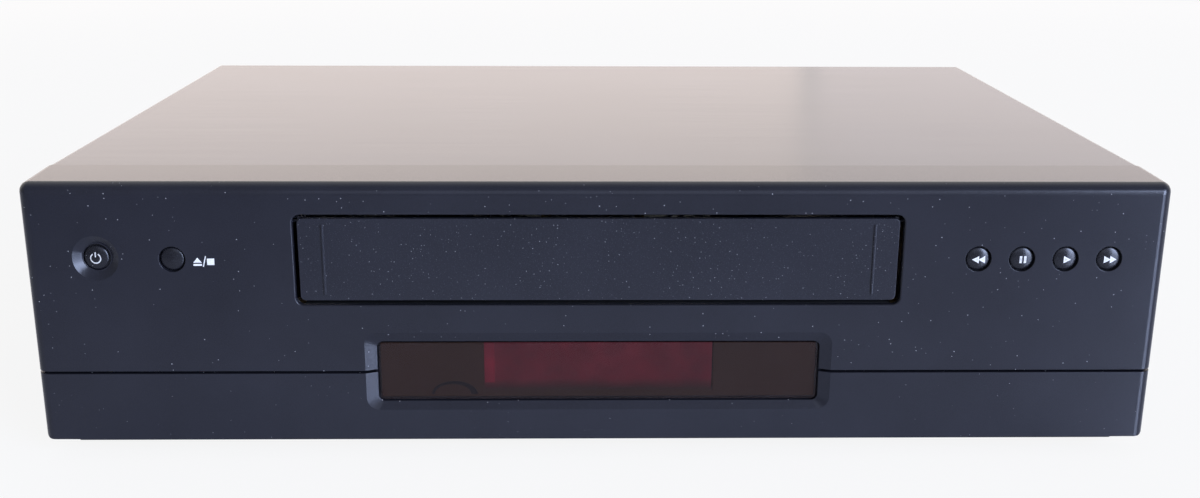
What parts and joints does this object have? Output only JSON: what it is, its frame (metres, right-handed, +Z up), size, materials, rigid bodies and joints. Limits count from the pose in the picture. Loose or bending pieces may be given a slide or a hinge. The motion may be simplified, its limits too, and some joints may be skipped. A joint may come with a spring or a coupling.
{
  "type": "video cassette recorder",
  "caption": "Front-loading video cassette recorder with a cassette door, display window, push buttons, a fold-down front flap and a complete tape deck inside a steel cover.",
  "frame": {"origin": "centre of the plan of the whole recorder, on the surface that its feet stand on", "axes": "+X to the viewer's right seen from the front, +Y from the front panel to the rear sockets, +Z up"},
  "size_m": [0.4328, 0.302, 0.1105],
  "materials": {
    "panel_plastic": "fine-textured slate charcoal plastic",
    "flap_plastic": "fine-textured slate charcoal plastic",
    "door_plastic": "satin slate charcoal plastic",
    "button_plastic": "satin dark grey plastic",
    "cover_paint": "satin charcoal paint on steel sheet",
    "rear_paint": "satin dark grey paint",
    "chassis_plastic": "moulded black plastic",
    "black_plastic": "moulded black plastic",
    "socket_plastic": "moulded black plastic",
    "chip_plastic": "matte black",
    "foot_rubber": "matte",
    "belt_rubber": "matte",
    "roller_rubber": "ground matte",
    "screw_steel": "blackened steel",
    "spring_steel": "drawn wire",
    "shaft_steel": "ground",
    "arm_steel": "zinc plated",
    "deck_steel": "zinc plated sheet",
    "carriage_steel": "zinc plated sheet",
    "holder_steel": "zinc plated sheet",
    "tinned_steel": "tinned sheet",
    "motor_steel": "plated can",
    "head_metal": "polished",
    "nickel": "nickel plated",
    "window_acrylic": "dark smoked acrylic",
    "display_glass": "dark red filter over the display",
    "receiver_plastic": "dark moulded lens",
    "circuit_board": "paper phenolic board",
    "transformer_core": "varnished laminations",
    "capacitor_sleeve": "printed shrink sleeve",
    "heat_sink_aluminium": "extruded",
    "drum_aluminium": "turned",
    "head_drum_aluminium": "turned and polished",
    "bearing_brass": "turned",
    "guide_brass": "cast and turned",
    "pulley_plastic": "natural acetal",
    "gear_plastic": "natural acetal",
    "reel_plastic": "moulded grey"
  },
  "bodies": {
    "case": {"base_chassis": "chassis_plastic", "feet": "foot_rubber", "top_cover": "cover_paint", "cover_screws": "screw_steel", "rear_panel": "rear_paint", "front_fascia": "panel_plastic", "door_spring": "spring_steel", "display_window": "window_acrylic", "display_module": "display_glass", "infrared_receiver": "receiver_plastic", "front_board": "circuit_board", "tact_switches": "black_plastic", "front_sockets": "nickel", "main_board": "circuit_board", "board_parts": "chip_plastic", "tuner_can": "tinned_steel", "aerial_sockets": "nickel", "scart_sockets": "socket_plastic", "line_sockets": "nickel", "power_board": "circuit_board", "mains_inlet": "black_plastic", "transformer": "transformer_core", "capacitors": "capacitor_sleeve", "heat_sink": "heat_sink_aluminium", "deck_plate": "deck_steel", "lower_drum": "drum_aluminium", "capstan_bearing": "bearing_brass", "reel_belt": "belt_rubber", "loading_motor": "motor_steel", "tape_heads": "head_metal", "carriage_guides": "carriage_steel", "carriage_bridge": "carriage_steel"},
    "flap": {"front_flap": "flap_plastic", "flap_returns": "flap_plastic"},
    "door": {"cassette_door": "door_plastic"},
    "power_button": {"power_button": "button_plastic"},
    "eject_stop_button": {"eject_stop_button": "button_plastic"},
    "rewind_button": {"rewind_button": "button_plastic"},
    "pause_button": {"pause_button": "button_plastic"},
    "play_button": {"play_button": "button_plastic"},
    "fast_forward_button": {"fast_forward_button": "button_plastic"},
    "programme_down_button": {"programme_down_button": "button_plastic"},
    "programme_up_button": {"programme_up_button": "button_plastic"},
    "record_button": {"record_button": "button_plastic"},
    "head_drum": {"head_drum": "head_drum_aluminium"},
    "capstan": {"capstan": "shaft_steel"},
    "reel_pulley": {"reel_pulley": "pulley_plastic"},
    "supply_reel": {"supply_reel": "reel_plastic"},
    "take_up_reel": {"take_up_reel": "reel_plastic"},
    "idler_arm": {"idler_arm": "arm_steel"},
    "idler_wheel": {"idler_wheel": "roller_rubber"},
    "pinch_arm": {"pinch_arm": "arm_steel"},
    "pinch_roller": {"pinch_roller": "roller_rubber"},
    "guide_block_left": {"guide_block_left": "guide_brass"},
    "guide_block_right": {"guide_block_right": "guide_brass"},
    "loading_wheel": {"loading_wheel": "gear_plastic"},
    "loading_worm": {"loading_worm": "gear_plastic"},
    "tension_arm": {"tension_arm": "arm_steel"},
    "carriage_sliders": {"carriage_sliders": "gear_plastic"},
    "cassette_holder": {"cassette_holder": "holder_steel"}
  },
  "joints": [
    {"name": "flap_hinge", "type": "hinge", "parent": "case", "child": "flap", "pos_m": [0, -0.145, 0.0132], "axis": [1, 0, 0], "range_deg": [0, 88]},
    {"name": "door_hinge", "type": "hinge", "parent": "case", "child": "door", "pos_m": [0, -0.1455, 0.0958], "axis": [1, 0, 0], "range_deg": [0, 88], "stiffness_Nm_per_rad": 0.005, "springref_deg": -28.65},
    {"name": "power_button_press", "type": "slide", "parent": "case", "child": "power_button", "axis": [0, 1, 0], "range_m": [0, 0.0012], "stiffness_N_per_m": 400, "springref_m": -0.001},
    {"name": "eject_stop_button_press", "type": "slide", "parent": "case", "child": "eject_stop_button", "axis": [0, 1, 0], "range_m": [0, 0.0012], "stiffness_N_per_m": 400, "springref_m": -0.001},
    {"name": "rewind_button_press", "type": "slide", "parent": "case", "child": "rewind_button", "axis": [0, 1, 0], "range_m": [0, 0.0012], "stiffness_N_per_m": 400, "springref_m": -0.001},
    {"name": "pause_button_press", "type": "slide", "parent": "case", "child": "pause_button", "axis": [0, 1, 0], "range_m": [0, 0.0012], "stiffness_N_per_m": 400, "springref_m": -0.001},
    {"name": "play_button_press", "type": "slide", "parent": "case", "child": "play_button", "axis": [0, 1, 0], "range_m": [0, 0.0012], "stiffness_N_per_m": 400, "springref_m": -0.001},
    {"name": "fast_forward_button_press", "type": "slide", "parent": "case", "child": "fast_forward_button", "axis": [0, 1, 0], "range_m": [0, 0.0012], "stiffness_N_per_m": 400, "springref_m": -0.001},
    {"name": "programme_down_button_press", "type": "slide", "parent": "case", "child": "programme_down_button", "axis": [0, 1, 0], "range_m": [0, 0.0012], "stiffness_N_per_m": 400, "springref_m": -0.001},
    {"name": "programme_up_button_press", "type": "slide", "parent": "case", "child": "programme_up_button", "axis": [0, 1, 0], "range_m": [0, 0.0012], "stiffness_N_per_m": 400, "springref_m": -0.001},
    {"name": "record_button_press", "type": "slide", "parent": "case", "child": "record_button", "axis": [0, 1, 0], "range_m": [0, 0.0012], "stiffness_N_per_m": 400, "springref_m": -0.001},
    {"name": "head_drum_spin", "type": "hinge", "parent": "case", "child": "head_drum", "pos_m": [0, 0.08, 0.046], "axis": [0.1045, 0, 0.9945], "continuous": true},
    {"name": "capstan_spin", "type": "hinge", "parent": "case", "child": "capstan", "pos_m": [0.046, 0.042, 0.036], "axis": [0, 0, 1], "continuous": true},
    {"name": "reel_pulley_spin", "type": "hinge", "parent": "case", "child": "reel_pulley", "pos_m": [0, -0.018, 0.036], "axis": [0, 0, 1], "continuous": true},
    {"name": "supply_reel_spin", "type": "hinge", "parent": "case", "child": "supply_reel", "pos_m": [-0.046, -0.008, 0.0375], "axis": [0, 0, 1], "continuous": true},
    {"name": "take_up_reel_spin", "type": "hinge", "parent": "case", "child": "take_up_reel", "pos_m": [0.046, -0.008, 0.0375], "axis": [0, 0, 1], "continuous": true},
    {"name": "idler_arm_swing", "type": "hinge", "parent": "case", "child": "idler_arm", "pos_m": [0, -0.018, 0.0375], "axis": [0, 0, 1], "range_deg": [-34, 34]},
    {"name": "idler_wheel_spin", "type": "hinge", "parent": "idler_arm", "child": "idler_wheel", "pos_m": [0, 0.0073, 0.0375], "axis": [0, 0, 1], "continuous": true},
    {"name": "pinch_arm_swing", "type": "hinge", "parent": "case", "child": "pinch_arm", "pos_m": [0.072, 0.052, 0.0375], "axis": [0, 0, -1], "range_deg": [0, 37.5], "stiffness_Nm_per_rad": 0.01, "springref_deg": -11.46},
    {"name": "pinch_roller_spin", "type": "hinge", "parent": "pinch_arm", "child": "pinch_roller", "pos_m": [0.06686, 0.02784, 0.0375], "axis": [0, 0, 1], "continuous": true},
    {"name": "tension_arm_swing", "type": "hinge", "parent": "case", "child": "tension_arm", "pos_m": [-0.07, 0.03, 0.0375], "axis": [0, 0, 1], "range_deg": [0, 35], "stiffness_Nm_per_rad": 0.01, "springref_deg": -11.46},
    {"name": "loading_wheel_turn", "type": "hinge", "parent": "case", "child": "loading_wheel", "pos_m": [-0.069, 0.081, 0.0375], "axis": [0, 0, 1], "range_deg": [0, 150]},
    {"name": "loading_worm_turn", "type": "hinge", "parent": "case", "child": "loading_worm", "pos_m": [-0.069, 0.0994, 0.0475], "axis": [1, 0, 0], "range_deg": [0, 3600]},
    {"name": "guide_block_left_slide", "type": "slide", "parent": "case", "child": "guide_block_left", "axis": [-0.3773, 0.9261, 0], "range_m": [0, 0.05836]},
    {"name": "guide_block_right_slide", "type": "slide", "parent": "case", "child": "guide_block_right", "axis": [0.3773, 0.9261, 0], "range_m": [0, 0.05836]},
    {"name": "carriage_slide", "type": "slide", "parent": "case", "child": "carriage_sliders", "axis": [0, 1, 0], "range_m": [0, 0.051]},
    {"name": "holder_lower", "type": "slide", "parent": "carriage_sliders", "child": "cassette_holder", "axis": [0, 0, -1], "range_m": [0, 0.02]}
  ],
  "couplings": [
    {"joint": "reel_pulley_spin", "follows": "capstan_spin", "ratio": 0.62264},
    {"joint": "idler_wheel_spin", "follows": "capstan_spin", "ratio": -0.57475},
    {"joint": "loading_worm_turn", "follows": "loading_wheel_turn", "ratio": 24},
    {"joint": "guide_block_left_slide", "follows": "loading_wheel_turn", "m_per_rad": 0.022273},
    {"joint": "guide_block_right_slide", "follows": "loading_wheel_turn", "m_per_rad": 0.022273}
  ]
}
